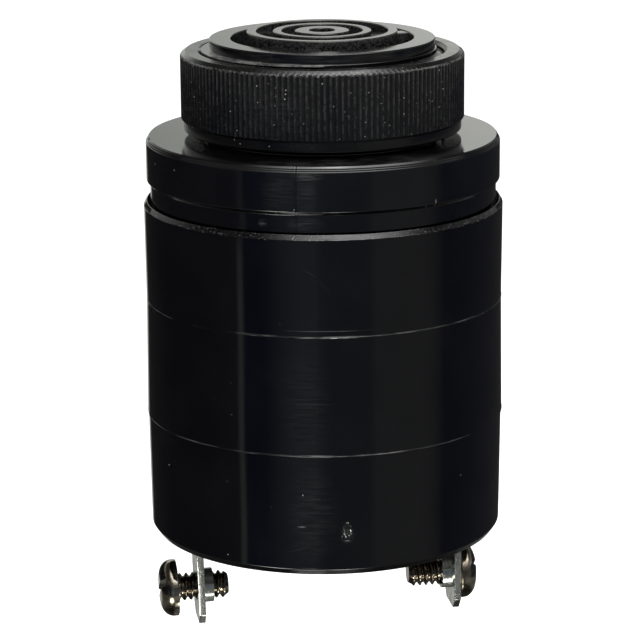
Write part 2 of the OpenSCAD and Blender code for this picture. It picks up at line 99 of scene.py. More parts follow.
# --- Studio -------------------------------------------------------------------
# A pale floor under a white room, a large soft lamp over the front and two weaker ones at the
# sides. A tent of grey boards stands round the part, as on a studio table: only gloss sees it.
floor_drop = 60 * MM
floor_half = 3.0
floor_z = cad_low.z - floor_drop
floor_paper = 0.85
floor_glow = 0.7
room_level = 0.34
board_ring_r = 0.2
strip_top = -0.0545
strip_left = -53.6
strip_right = -50
strip_dimmed = 0.45
wall_boards_top = 0.012
side_boards_top = 0.062
dome_r = 0.6
dome_foot = 11
# The dome's even ceiling: elevations, and its brightness between and past them
ceiling_bands = (20, 32, 62, 75)
ceiling_level = 0.3
low_ceiling_level = 0.07
key_azimuth = 24
key_elevation = 65
key_spread = 32.5
key_level = 4.8
key_core_azimuth = 12
key_core_elevation = 62
key_core_spread = 7
key_core_level = 9
# The table's dark ring round the part: its radii, inner and outer, and the dark and plain brightness
table_bands = (0.018, 0.022, 0.065, 0.095)
table_levels = (0.045, 0.26)
# Its back edge: distance from the middle and depth over which it turns pale
table_edge_r = (0.12, 0.15)
table_edge_y = (0.11, 0.14)
table_edge_level = 0.5
# Pools of light on the table: place, radius and brightness
TABLE_LIGHTS = [((0.004, -0.046), 0.0115, 26), ((-0.072, -0.082), 0.021, 46)]
# Brightness of the low boards, which the walls mirror, by azimuth in red, green and blue
WALL_BOARDS = [
    (-180, (0.8, 0.81, 0.76)), (-165, (0.66, 0.68, 0.63)), (-158.5, (0.5, 0.51, 0.47)),
    (-155, (0.022, 0.022, 0.02)), (-115, (0.022, 0.021, 0.025)), (-80, (0.038, 0.038, 0.05)),
    (-54, (0.064, 0.064, 0.088)), (-53, (0.31, 0.32, 0.32)), (-50.5, (0.31, 0.32, 0.32)),
    (-49.5, (0.02, 0.035, 0.078)), (-36, (0.035, 0.05, 0.1)), (-26, (0.118, 0.136, 0.172)),
    (-15, (0.174, 0.202, 0.24)), (-5, (0.179, 0.212, 0.245)), (-3, (0.133, 0.156, 0.19)),
    (3, (0.103, 0.119, 0.147)), (27, (0.114, 0.126, 0.148)), (32, (0.188, 0.195, 0.205)),
    (61, (0.18, 0.185, 0.19)), (68, (0.15, 0.153, 0.165)), (74, (0.105, 0.108, 0.13)),
    (79, (0.038, 0.043, 0.075)), (86, (0.04, 0.045, 0.075)), (112, (0.046, 0.048, 0.065)),
    (150, (0.034, 0.034, 0.034)), (180, (0.031, 0.031, 0.03)),
]
# Brightness of the boards above them, which the level faces mirror, in the same way
SIDE_BOARDS = [
    (-180, (0.8, 0.81, 0.76)), (-169, (0.58, 0.6, 0.55)), (-162, (0.93, 0.95, 0.9)),
    (-152, (0.93, 0.95, 0.9)), (-143, (0.5, 0.5, 0.48)), (-111, (0.45, 0.45, 0.44)),
    (-90, (0.21, 0.21, 0.21)), (-60, (0.3, 0.3, 0.3)), (60, (0.3, 0.3, 0.3)),
    (90, (0.59, 0.59, 0.57)), (108, (0.28, 0.28, 0.28)), (143, (0.23, 0.23, 0.22)),
    (152, (0.18, 0.18, 0.18)), (162, (0.53, 0.54, 0.51)), (168, (1.1, 1.12, 1.06)),
    (180, (0.8, 0.81, 0.76)),
]


def linked(obj_name, mesh):
    """A new object that shows the mesh, in the scene."""
    obj = bpy.data.objects.new(obj_name, mesh)
    scene.collection.objects.link(obj)
    return obj


def placed(tree, kind, *values, settings=None, **named):
    """A new node. settings are its own properties, and its inputs are set in order or by name, each
    to a value or to another node's output. An underscore in an input's name stands for a space."""
    node = tree.nodes.new(kind)
    for label, value in (settings or {}).items():
        setattr(node, label, value)
    sockets = list(zip(node.inputs, values))
    sockets += [(node.inputs[label.replace("_", " ")], value) for label, value in named.items()]
    for socket, value in sockets:
        if isinstance(value, bpy.types.NodeSocket):
            tree.links.new(value, socket)
        else:
            socket.default_value = value
    return node


def calculated(tree, operation, *values):
    """The result of a Math node."""
    return placed(tree, "ShaderNodeMath", *values, settings={"operation": operation}).outputs[0]


def shader_tree(name):
    """A new node material with nothing in it but its output. Returns the material, tree and output."""
    material = bpy.data.materials.new(name)
    material.use_nodes = True
    tree = material.node_tree
    tree.nodes.clear()
    return material, tree, tree.nodes.new("ShaderNodeOutputMaterial").inputs["Surface"]


def seen_as_white(tree):
    """1 for a ray from the camera, from gloss or through glass, and 0 for light that falls softly."""
    path = placed(tree, "ShaderNodeLightPath").outputs
    either = calculated(tree, "MAXIMUM", path["Is Camera Ray"], path["Is Glossy Ray"])
    return calculated(tree, "MAXIMUM", either, path["Is Transmission Ray"])


def pale_floor():
    """White paper that reaches full white where it is lit, and keeps a soft shadow."""
    material, tree, surface = shader_tree("pale_floor")
    paper = placed(tree, "ShaderNodeBsdfDiffuse", Color=(floor_paper, floor_paper, floor_paper, 1))
    glow = placed(tree, "ShaderNodeEmission",
                  Strength=calculated(tree, "MULTIPLY", seen_as_white(tree), floor_glow))
    both = placed(tree, "ShaderNodeAddShader", paper.outputs[0], glow.outputs[0])
    tree.links.new(both.outputs[0], surface)
    return material


floor_mesh = bpy.data.meshes.new("floor")
floor_mesh.from_pydata(
    [(x * floor_half, y * floor_half, floor_z) for x, y in ((-1, -1), (1, -1), (1, 1), (-1, 1))],
    [], [(0, 1, 2, 3)])
floor_mesh.materials.append(pale_floor())
floor = linked("floor", floor_mesh)

world = bpy.data.worlds.new("room")
scene.world = world
world.use_nodes = True
room = world.node_tree
room.nodes.clear()
room_soft = placed(room, "ShaderNodeBackground", Color=(1, 1, 1, 1), Strength=room_level)
room_white = placed(room, "ShaderNodeBackground", Color=(1, 1, 1, 1), Strength=1)
room_mix = placed(room, "ShaderNodeMixShader", seen_as_white(room),
                  room_soft.outputs[0], room_white.outputs[0])
room.links.new(room_mix.outputs[0], room.nodes.new("ShaderNodeOutputWorld").inputs["Surface"])


def gloss_board(name, rows, level):
    """A board that only gloss sees, from rows of points of equal length. level gives the brightness
    painted at a point from its row and its place in it."""
    count = len(rows[0])
    verts = [point for row in rows for point in row]
    faces = []
    for low in range(0, count * (len(rows) - 1), count):
        for k in range(count):
            ahead = (k + 1) % count
            faces.append((low + k, low + ahead, low + count + ahead, low + count + k))
    mesh = bpy.data.meshes.new(name)
    mesh.from_pydata(verts, [], faces)
    paint = mesh.color_attributes.new("level", "FLOAT_COLOR", "POINT")
    for i in range(len(verts)):
        paint.data[i].color = (*level(i // count, i % count), 1)
    material, tree, surface = shader_tree(name)
    painted = placed(tree, "ShaderNodeAttribute", settings={"attribute_name": "level"})
    tree.links.new(placed(tree, "ShaderNodeEmission", Color=painted.outputs["Color"]).outputs[0], surface)
    material.cycles.emission_sampling = "NONE"
    mesh.materials.append(material)
    board = linked(name, mesh)
    for way in ("camera", "diffuse", "transmission", "volume_scatter", "shadow"):
        setattr(board, "visible_" + way, False)


def around(boards, azimuth):
    """The brightness of a ring of boards at an azimuth."""
    stops = [stop for stop, level in boards]
    return [np.interp(azimuth, stops, [level[c] for stop, level in boards]) for c in range(3)]


def ring_row(azimuths, z):
    """Points of the boards' ring at a height."""
    return [seen_from_camera(azimuth, 0, board_ring_r) + Vector((0, 0, z)) for azimuth in azimuths]


def wall_level(row, k):
    """The low boards' brightness. Their pale strip at the left is dimmer above its top."""
    dimmed = row > 1 and strip_left < columns[k] < strip_right
    return [level * (strip_dimmed if dimmed else 1) for level in around(WALL_BOARDS, columns[k])]


columns = np.arange(-180, 180, 0.5)
wall_heights = (floor_z + MM, strip_top - MM, strip_top + MM, wall_boards_top)
gloss_board("wall_boards", [ring_row(columns, z) for z in wall_heights], wall_level)
gloss_board("side_boards", [ring_row(columns, z) for z in (wall_boards_top, side_boards_top)],
            lambda row, k: around(SIDE_BOARDS, columns[k]))
table_angles = np.radians(np.arange(0, 360, 4))
table_rows = [[Vector((r * math.cos(t), r * math.sin(t), floor_z + MM)) for t in table_angles]
              for r in np.linspace(0, board_ring_r, 101)]


def table_glow(row, k):
    """A table, dark in a ring round the part and pale at its back edge, with pools of light in front.
    The part's metal mirrors it."""
    place = table_rows[row][k].xy
    reach = math.hypot(place.x, place.y if place.y < 0 else 0.35 * place.y)
    level = np.interp(reach, table_bands, (*reversed(table_levels), *table_levels))
    behind = np.interp(place.length, table_edge_r, (0, 1)) * np.interp(place.y, table_edge_y, (0, 1))
    level += (table_edge_level - level) * behind
    for middle, pool_r, pool_level in TABLE_LIGHTS:
        level += pool_level * math.exp(-((place - Vector(middle)).length / pool_r) ** 2)
    return (level, level, 0.95 * level)


gloss_board("table", table_rows, table_glow)
dome_azimuths = np.arange(-180, 180, 2)
dome_elevations = np.linspace(dome_foot, 89.5, 54)
key_way = seen_from_camera(key_azimuth, key_elevation, 1)
core_way = seen_from_camera(key_core_azimuth, key_core_elevation, 1)


def dome_level(row, k):
    """The sides' own brightness low down, an even ceiling above, and the key light's soft box on it."""
    azimuth, elevation = dome_azimuths[k], dome_elevations[row]
    way = seen_from_camera(azimuth, elevation, 1)
    key = key_level * math.exp(-(math.degrees(way.angle(key_way)) / key_spread) ** 4)
    key += key_core_level * math.exp(-(math.degrees(way.angle(core_way)) / key_core_spread) ** 2)
    ceiling = (low_ceiling_level, low_ceiling_level, ceiling_level)
    return [np.interp(elevation, ceiling_bands, (side, *ceiling)) + key
            for side in around(SIDE_BOARDS, azimuth)]


dome_rows = [[seen_from_camera(azimuth, elevation, dome_r) for azimuth in dome_azimuths]
             for elevation in dome_elevations]
gloss_board("overhead_dome", dome_rows, dome_level)


def soft_lamp(name, azimuth, elevation, distance, width, height, power):
    """A rectangular soft box that points at the middle of the part. The boards stand for it in gloss."""
    data = bpy.data.lights.new(name, "AREA")
    data.shape = "RECTANGLE"
    data.size = width
    data.size_y = height
    data.energy = power
    lamp = bpy.data.objects.new(name, data)
    scene.collection.objects.link(lamp)
    lamp.visible_glossy = False
    lamp.location = seen_from_camera(azimuth, elevation, distance)
    lamp.rotation_mode = "QUATERNION"
    lamp.rotation_quaternion = (-lamp.location).to_track_quat("-Z", "Y")


soft_lamp("lamp_over_front", 12, 62, 0.9, 0.75, 0.6, 6.5)
soft_lamp("lamp_left", -80, 40, 0.9, 0.4, 0.4, 1.9)
soft_lamp("lamp_right", 85, 35, 0.9, 0.4, 0.4, 1.9)

# --- Front housing ------------------------------------------------------------
# The black moulded front: a spigot that goes into the rear case, a flange, and a threaded neck
# that ends in a grille of raised rings on three spokes. It comes out of its mould glossy, with a
# witness line down the flange where the mould's halves meet.
case_r = 21.48
rim_z = -7.6
flange_r = 21.1
flange_h = 5.6
groove_r = 20.65
spigot_r = 19.73
spigot_z = -13.6
pocket_r = 17.9
roof_z = -2.0
chamber_r = 12.5
neck_r = 14.4
neck_h = 10.24
neck_pitch = 1.5875
neck_depth = 0.9
neck_end_turn = -98 / 360
neck_last_crest = neck_h + 0.2
grille_z = 8.04
band_in = 10.84
band_out = 13.36
band_z = 11.5
rings_z = 12.3
RINGS = [(1.52, 3.23), (4.8, 5.83), (7.8, 8.92)]
spokes = 3
spoke_w = 1.9
spoke_top = 11.4
spoke_bottom = 8.44
spoke_angle = 14
seam_bearing = -107.5
# Pale colour laid over the black plastics for dust, wear and painted highlights
dust_and_highlight_colour = (0.62, 0.62, 0.6)
# How deep a rub or a painted highlight reaches into its piece
mark_reach = 3
# Pale marks on the front: bearing, radius, height, half width, half height and paleness. Most are
# painted light: painted reflections of a light band down the flange and groove beside the witness
# line, a painted highlight on the flange's lower bevel, painted light on the flange's top in front of
# the ring, and painted highlights along the neck's ledge and on the top of the grille's band. The rest
# are a hook mark on the flange, lint in the groove and pale patches on the band's wall.
HOUSING_RUBS_AND_HIGHLIGHTS = [
    (-104, flange_r, -1.0, 2.1, 0.8, 0.07), (-105.5, flange_r, -5.35, 2.7, 0.28, 0.32),
    (-113, flange_r, -2.8, 2.4, 3.0, 0.016), (-104.5, flange_r, -3.0, 1.5, 2.6, 0.022),
    (-104.8, groove_r, -6.6, 2.4, 0.9, 0.038), (-118.4, groove_r, -6.65, 0.65, 0.6, 0.07),
    (-61.6, flange_r, -5.0, 0.1, 0.45, 0.6), (-100, 19, 0, 9, 0.3, 0.035), (-76, 19, 0, 8, 0.3, 0.045),
    (-165, neck_r, neck_h, 5, 0.2, 0.26), (-142, neck_r, neck_h, 5, 0.2, 0.34),
    (-152, neck_r, neck_h, 3, 0.2, 0.26), (-131, neck_r, neck_h, 3, 0.2, 0.28),
    (-99, neck_r, neck_h, 2.4, 0.2, 0.3), (-84, band_out, 10.9, 3, 0.9, 0.02),
    (-112, neck_r, neck_h, 4, 0.2, 0.34), (-172, band_out, 10.9, 3.5, 0.8, 0.1),
    (-128, band_out, 10.9, 6, 0.9, 0.02), (-95, band_out, 10.9, 6, 0.9, 0.035),
    (-60, band_out, 10.9, 6, 0.9, 0.02), (-97, 12.0, band_z, 2.6, 0.2, 0.14),
]


def rounded(corners):
    """An outline from (radius, z, fillet) corners. Each fillet is an arc, with a guard point on each
    side of it that keeps the flats beside it flat in the shading."""
    guard = 0.03
    points = []
    count = len(corners)
    for i, (r, z, fillet) in enumerate(corners):
        here = Vector((r, z))
        if not fillet:
            points.append(here)
            continue
        back = (Vector(corners[i - 1][:2]) - here).normalized()
        ahead = (Vector(corners[(i + 1) % count][:2]) - here).normalized()
        half = back.angle(ahead) / 2
        tangent = fillet / math.tan(half)
        centre = here + (back + ahead).normalized() * fillet / math.sin(half)
        sweep = math.pi - 2 * half
        steps = max(2, math.ceil(sweep / math.radians(18)))
        start = here + back * tangent - centre
        end = here + ahead * tangent - centre
        points.append(here + back * (tangent + guard))
        for k in range(steps + 1):
            t = k / steps
            swung = (math.sin((1 - t) * sweep) * start + math.sin(t * sweep) * end) / math.sin(sweep)
            points.append(centre + swung)
        points.append(here + ahead * (tangent + guard))
    return points


def round_angles(count, finer=()):
    """Angles of the columns round a turned piece: an even set, and finer ones about some places.
    Each finer place is (middle, half width, columns), in radians."""
    angles = {round(2 * math.pi * k / count, 6) for k in range(count)}
    for middle, half, columns in finer:
        low = (middle - half) % (2 * math.pi)
        angles = {a for a in angles if not 0 < (a - low) % (2 * math.pi) < 2 * half}
        angles |= {round((low + 2 * half * k / columns) % (2 * math.pi), 6) for k in range(columns + 1)}
    return sorted(angles)


def turned(name, outline, angles, shape=None):
    """A closed outline in millimetres turned about the Z axis. shape(angle, r, z) may move a point's
    radius, for what isn't the same all round."""
    count = len(outline)
    verts = []
    for a in angles:
        for r, z in outline:
            at = shape(a, r, z) if shape else r
            verts.append((at * MM * math.cos(a), at * MM * math.sin(a), z * MM))
    faces = []
    for i in range(len(angles)):
        here, ahead = i * count, (i + 1) % len(angles) * count
        for k in range(count):
            up = (k + 1) % count
            faces.append((here + k, ahead + k, ahead + up, here + up))
    mesh = bpy.data.meshes.new(name)
    mesh.from_pydata(verts, [], faces)
    return linked(name, closed(mesh))


def closed(mesh):
    """Merges doubled points and turns every face outwards."""
    work = bmesh.new()
    work.from_mesh(mesh)
    bmesh.ops.remove_doubles(work, verts=work.verts, dist=0.002 * MM)
    bmesh.ops.dissolve_degenerate(work, edges=work.edges, dist=0.0005 * MM)
    bmesh.ops.recalc_face_normals(work, faces=work.faces)
    work.to_mesh(mesh)
    work.free()
    return mesh


def smooth(obj, angle=38):
    """Smooth shading, with a hard edge where two faces meet at more than the angle."""
    obj.data.shade_smooth()
    obj.data.set_sharp_from_angle(angle=math.radians(angle))
    return obj


def groove_tree():
    """Geometry Nodes that press grooves into a turned piece: a knurl's straight ones, or a thread's
    helical ones. A point's radius is held under Crest - Depth x wave, or above Crest + Depth x wave in
    a bore. A thread's last crest ends bluntly, and all above it is cut to the root."""
    tree = bpy.data.node_groups.new("pressed_grooves", "GeometryNodeTree")
    face = tree.interface
    face.new_socket("Geometry", in_out="INPUT", socket_type="NodeSocketGeometry")
    for label in ("Crest", "Depth", "Starts", "Turns per metre", "End turn", "Last crest", "Flat share",
                  "Low", "High", "Run out"):
        face.new_socket(label, in_out="INPUT", socket_type="NodeSocketFloat")
    face.new_socket("Bore", in_out="INPUT", socket_type="NodeSocketBool")
    face.new_socket("Material", in_out="INPUT", socket_type="NodeSocketMaterial")
    face.new_socket("Geometry", in_out="OUTPUT", socket_type="NodeSocketGeometry")
    given = tree.nodes.new("NodeGroupInput").outputs

    def worked(operation, *values):
        return calculated(tree, operation, *values)

    def ramp(value, low, high):
        return placed(tree, "ShaderNodeMapRange", value, low, high,
                      settings={"interpolation_type": "SMOOTHSTEP"}).outputs["Result"]

    place = placed(tree, "GeometryNodeInputPosition").outputs[0]
    x, y, z = placed(tree, "ShaderNodeSeparateXYZ", place).outputs
    turn = worked("FRACT", worked("SUBTRACT", worked("DIVIDE", worked("ARCTAN2", y, x), 2 * math.pi),
                                  given["End turn"]))
    radius = worked("SQRT", worked("ADD", worked("MULTIPLY", x, x), worked("MULTIPLY", y, y)))
    climb = worked("SUBTRACT",
                   worked("MULTIPLY", worked("SUBTRACT", z, given["Last crest"]), given["Turns per metre"]),
                   worked("MULTIPLY", turn, given["Starts"]))
    # From 0 on a crest to 1 in a root, flat on both, and 1 past the last crest
    off_crest = worked("SUBTRACT", 1, worked("ABSOLUTE", worked(
        "SUBTRACT", worked("MULTIPLY", worked("FRACT", climb), 2), 1)))
    past_end = worked("MULTIPLY", worked("GREATER_THAN", climb, -0.5),
                      worked("GREATER_THAN", given["Turns per metre"], 0))
    wave = worked("MAXIMUM", past_end,
                  ramp(off_crest, given["Flat share"], worked("SUBTRACT", 1, given["Flat share"])))
    fade = worked("MULTIPLY", ramp(z, given["Low"], worked("ADD", given["Low"], given["Run out"])),
                  ramp(worked("MULTIPLY", z, -1), worked("MULTIPLY", given["High"], -1),
                       worked("SUBTRACT", given["Run out"], given["High"])))
    cut = worked("MULTIPLY", worked("MULTIPLY", wave, given["Depth"]), fade)
    # In a bore only the points between the axis and the root are pushed out
    near = worked("LESS_THAN", radius, worked("ADD", given["Crest"], given["Depth"]))
    pushed = worked("MAXIMUM", radius, worked("MULTIPLY", near, worked("ADD", given["Crest"], cut)))
    pressed = worked("MINIMUM", radius, worked("SUBTRACT", given["Crest"], cut))
    new_radius = placed(tree, "GeometryNodeSwitch", given["Bore"], pressed, pushed,
                        settings={"input_type": "FLOAT"}).outputs[0]
    scale = worked("DIVIDE", new_radius, worked("MAXIMUM", radius, 1e-6))
    moved = placed(tree, "ShaderNodeCombineXYZ",
                   worked("MULTIPLY", x, scale), worked("MULTIPLY", y, scale), z)
    within = worked("MULTIPLY", worked("GREATER_THAN", z, given["Low"]),
                    worked("LESS_THAN", z, given["High"]))
    press = placed(tree, "GeometryNodeSetPosition", Geometry=given["Geometry"], Selection=within,
                   Position=moved.outputs[0])
    real = placed(tree, "GeometryNodeRealizeInstances", press.outputs[0])
    paint = placed(tree, "GeometryNodeSetMaterial", Geometry=real.outputs[0], Material=given["Material"])
    tree.links.new(paint.outputs[0], tree.nodes.new("NodeGroupOutput").inputs[0])
    return tree


pressed_grooves = groove_tree()


def with_nodes(obj, tree, **sizes):
    """Runs a Geometry Nodes tree on a piece, with its inputs set by name as placed() does, and keeps
    the plain mesh."""
    modifier = obj.modifiers.new(tree.name, "NODES")
    modifier.node_group = tree
    sockets = {item.name: item.identifier for item in tree.interface.items_tree if item.in_out == "INPUT"}
    for label, value in sizes.items():
        modifier[sockets[label.replace("_", " ")]] = value
    return settled(obj)


def settled(obj):
    """Makes a piece's evaluated shape its plain mesh, and takes its modifiers away."""
    evaluated = obj.evaluated_get(bpy.context.evaluated_depsgraph_get())
    mesh = bpy.data.meshes.new_from_object(evaluated)
    obj.modifiers.clear()
    obj.data = mesh
    return obj


def joined(obj, *others, cut=False):
    """Unites a piece with others, or cuts them away from it, and removes the others."""
    for other in others:
        step = obj.modifiers.new("boolean", "BOOLEAN")
        step.operation = "DIFFERENCE" if cut else "UNION"
        step.solver = "MANIFOLD"
        step.object = other
    settled(obj)
    for other in others:
        bpy.data.objects.remove(other)
    return obj


def block(name, low, high, fillet):
    """A block between two corners in millimetres, with rounded edges."""
    work = bmesh.new()
    bmesh.ops.create_cube(work, size=1)
    low, high = Vector(low), Vector(high)
    for v in work.verts:
        v.co = Vector([(a + b) / 2 + c * (b - a) for a, b, c in zip(low, high, v.co)]) * MM
    bmesh.ops.bevel(work, geom=work.edges, offset=fillet * MM, segments=3, affect="EDGES", profile=0.5)
    mesh = bpy.data.meshes.new(name)
    work.to_mesh(mesh)
    work.free()
    return linked(name, mesh)


def dressed(obj, material):
    """Gives a piece one finish all over."""
    obj.data.materials.clear()
    obj.data.materials.append(material)


def noise_of(tree, at, scale, detail, rough=0.5):
    """The value of a Noise Texture."""
    return placed(tree, "ShaderNodeTexNoise", Vector=at, Scale=scale, Detail=detail,
                  Roughness=rough).outputs["Fac"]


def mapped(tree, *values):
    """A value carried from one range to another, and held within it."""
    return placed(tree, "ShaderNodeMapRange", *values).outputs["Result"]


def between_colours(tree, share, first, second):
    """The second colour in a share, and the first in the rest. Each is a colour or a node's output."""
    first, second = [(*end, 1) if isinstance(end, tuple) else end for end in (first, second)]
    return placed(tree, "ShaderNodeMix", Factor=share, A=first, B=second,
                  settings={"data_type": "RGBA"}).outputs["Result"]


def moulded_plastic(name, colour, haze, roughness, grain, dusty, rubs_and_highlights, films):
    """Glossy moulded black: a fine skin, faint cloudy haze, pale specks of dust, and pale marks where it
    was rubbed and where highlights are painted on. grain is the skin's bump in millimetres, and dusty
    the share of cells with a speck. Rubs and painted highlights are each (bearing, radius, height, half
    width, half height, paleness) in degrees and millimetres, and one with a tilt after them, in degrees,
    is even, with no streaks in it: a scratch, or a painted highlight round the case's gate. Films of
    dust, wear and painted highlight are each (nearest radius, furthest radius, lowest height, highest
    height, scale of its patches, what stays clean, paleness)."""
    material, tree, surface = shader_tree(name)
    here = placed(tree, "ShaderNodeTexCoord").outputs["Object"]

    def worked(operation, *values):
        return calculated(tree, operation, *values)

    # Dust: rare cells hold a round speck, and few of the specks are bright
    cells = placed(tree, "ShaderNodeTexVoronoi", Vector=here, Scale=1700).outputs
    pick, shade = placed(tree, "ShaderNodeSeparateColor", cells["Color"]).outputs[:2]
    speck = worked("MULTIPLY", mapped(tree, pick, 1 - dusty, 1.002 - dusty, 0, 1),
                   mapped(tree, cells["Distance"], 0.06, 0.15, 1, 0))
    pale = worked("MULTIPLY", speck, worked("POWER", shade, 3))

    # Rubs and painted highlights: level streaks that fade out towards the mark's edge
    level = placed(tree, "ShaderNodeMapping", Vector=here, Scale=(350, 350, 4500)).outputs[0]
    streaks = mapped(tree, noise_of(tree, level, 1, 4, 0.65), 0.42, 0.62, 0.08, 1)
    wear_and_highlights = scratches_and_gate_highlights = 0.0
    for bearing, radius, height, half_width, half_height, paleness, *tilt in rubs_and_highlights:
        turn = math.radians(bearing)
        middle = (radius * math.cos(turn) * MM, radius * math.sin(turn) * MM, height * MM)
        local = placed(tree, "ShaderNodeMapping", Vector=here, Location=middle,
                       Rotation=(math.radians(sum(tilt)), 0, turn),
                       Scale=(mark_reach * MM, half_width * MM, half_height * MM),
                       settings={"vector_type": "TEXTURE"})
        off = placed(tree, "ShaderNodeVectorMath", local.outputs[0], settings={"operation": "LENGTH"})
        mark = mapped(tree, off.outputs["Value"], 0.2, 1, paleness, 0)
        if tilt:
            scratches_and_gate_highlights = worked("MAXIMUM", scratches_and_gate_highlights, mark)
        else:
            wear_and_highlights = worked("MAXIMUM", wear_and_highlights, mark)
    wear_and_highlights = worked("MAXIMUM", worked("MULTIPLY", wear_and_highlights, streaks), scratches_and_gate_highlights)

    # Films: patches of dust, wear and painted highlight within a band of radii and heights
    def between(value, low, high):
        return worked("MULTIPLY", worked("GREATER_THAN", value, low * MM),
                      worked("LESS_THAN", value, high * MM))

    x, y, height = placed(tree, "ShaderNodeSeparateXYZ", here).outputs
    reach = worked("POWER", worked("ADD", worked("MULTIPLY", x, x), worked("MULTIPLY", y, y)), 0.5)
    for nearest, furthest, lowest, highest, patches, clean, paleness in films:
        inside = worked("MULTIPLY", between(reach, nearest, furthest), between(height, lowest, highest))
        patchy = mapped(tree, noise_of(tree, here, patches, 2, 0.7), clean, clean + 0.3, 0, paleness)
        wear_and_highlights = worked("MAXIMUM", wear_and_highlights, worked("MULTIPLY", inside, patchy))

    # The plastic itself, with the dust, wear and painted highlights laid over it
    clouds = mapped(tree, noise_of(tree, here, 160, 4), 0.42, 0.7, 0, 1)
    dusted = between_colours(tree, worked("MAXIMUM", pale, wear_and_highlights),
                             between_colours(tree, clouds, colour, haze), dust_and_highlight_colour)
    dull = mapped(tree, noise_of(tree, here, 420, 3), 0.3, 0.75, roughness * 0.8, roughness * 1.35)
    skin = placed(tree, "ShaderNodeBump", Distance=grain * MM, Height=noise_of(tree, here, 5200, 3, 0.6))
    shader = placed(tree, "ShaderNodeBsdfPrincipled", IOR=1.5, Base_Color=dusted,
                    Roughness=worked("ADD", dull, wear_and_highlights), Normal=skin.outputs[0])
    tree.links.new(shader.outputs[0], surface)
    return material


# The front's black, with a film of pale patches over its grille
housing_black = moulded_plastic("housing_black", (0.0018, 0.0019, 0.0023), (0.0034, 0.0035, 0.004),
                                0.1, 0.0018, 0.05, HOUSING_RUBS_AND_HIGHLIGHTS,
                                [(0, band_in + 0.1, grille_z - 0.6, rings_z + 1, 3600, 0.38, 0.07)])


def housing_shape(angle, r, z):
    """The witness line: a fine groove with a raised lip on each side, down the flange and groove."""
    if not rim_z - 0.01 < z < 0.01 or r < groove_r - 0.1:
        return r
    off = (angle - math.radians(seam_bearing) + math.pi) % (2 * math.pi) - math.pi
    across = abs(off * r)
    line = -0.05 * max(0, 1 - across / 0.1) + 0.012 * math.exp(-((across - 0.16) / 0.07) ** 2)
    return r + line


# The flange's top edge as its mould was turned: a bevel in three fine steps
flange_steps = [(flange_r, -0.76, 0), (flange_r - 0.03, -0.62, 0), (flange_r - 0.11, -0.55, 0),
                (flange_r - 0.14, -0.41, 0), (flange_r - 0.22, -0.34, 0), (flange_r - 0.25, -0.2, 0),
                (flange_r - 0.37, -0.07, 0), (flange_r - 0.42, 0, 0)]
thread_rows = 90
housing_outline = (
    rounded([
        (pocket_r, spigot_z, 0.1), (spigot_r, spigot_z, 0.25), (spigot_r, rim_z, 0),
        (groove_r, rim_z, 0), (groove_r, -flange_h, 0.08), (flange_r, -flange_h + 0.45, 0.12)]
        + flange_steps + [(neck_r, 0, 0)])
    + [Vector((neck_r, 0.05 + (neck_h - 0.25) * k / thread_rows)) for k in range(thread_rows + 1)]
    + rounded([
        (neck_r, neck_h, 0.06), (band_out, neck_h, 0.08), (band_out, band_z, 0.14), (band_in, band_z, 0.14),
        (band_in, grille_z, 0), (chamber_r, grille_z, 0.2), (chamber_r, roof_z, 0), (pocket_r, roof_z, 0)])
)
finer_places = [(math.radians(seam_bearing), 0.03, 24), (2 * math.pi * neck_end_turn, 0.012, 8)]
front_housing = turned("front_housing_moulding", housing_outline,
                       round_angles(288, finer_places), housing_shape)
with_nodes(front_housing, pressed_grooves, Crest=neck_r * MM, Depth=neck_depth * MM, Starts=1.0,
           Turns_per_metre=1 / (neck_pitch * MM), End_turn=neck_end_turn, Last_crest=neck_last_crest * MM,
           Flat_share=0.12, Low=0.02 * MM, High=(neck_h + 1) * MM, Run_out=0.5 * MM,
           Material=housing_black)
closed(front_housing.data)
grille_parts = [
    turned("grille_ring", rounded([(inner, grille_z, 0.1), (outer, grille_z, 0.1), (outer, rings_z, 0.14),
                                   (inner, rings_z, 0.14)]), round_angles(192))
    for inner, outer in RINGS
]
for i in range(spokes):
    spoke = block("spoke", ((RINGS[0][0] + RINGS[0][1]) / 2, -spoke_w / 2, spoke_bottom),
                  ((band_in + band_out) / 2, spoke_w / 2, spoke_top), 0.14)
    spoke.data.transform(Matrix.Rotation(math.radians(spoke_angle + i * 360 / spokes), 4, "Z"))
    grille_parts.append(spoke)
joined(front_housing, *grille_parts)
smooth(front_housing, 24)
dressed(front_housing, housing_black)
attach(front_housing, "housing")
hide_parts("front_housing")

# --- Mounting ring ------------------------------------------------------------
# The knurled ring that screws down the neck and clamps the buzzer to a panel. It is moulded in the
# same black, a little duller, with straight serrations, a smooth lip below and a double bevel on
# top, whose lower edge is worn pale on the teeth and carries a painted highlight there.
ring_low = 0.68
ring_high = 10.1
knurl_r = 16.83
knurl_depth = 0.16
knurl_teeth = 154
lip_r = 16.5
lip_h = 1.19
bore_r = 14.47
bore_depth = 0.55
knurl_columns = 6
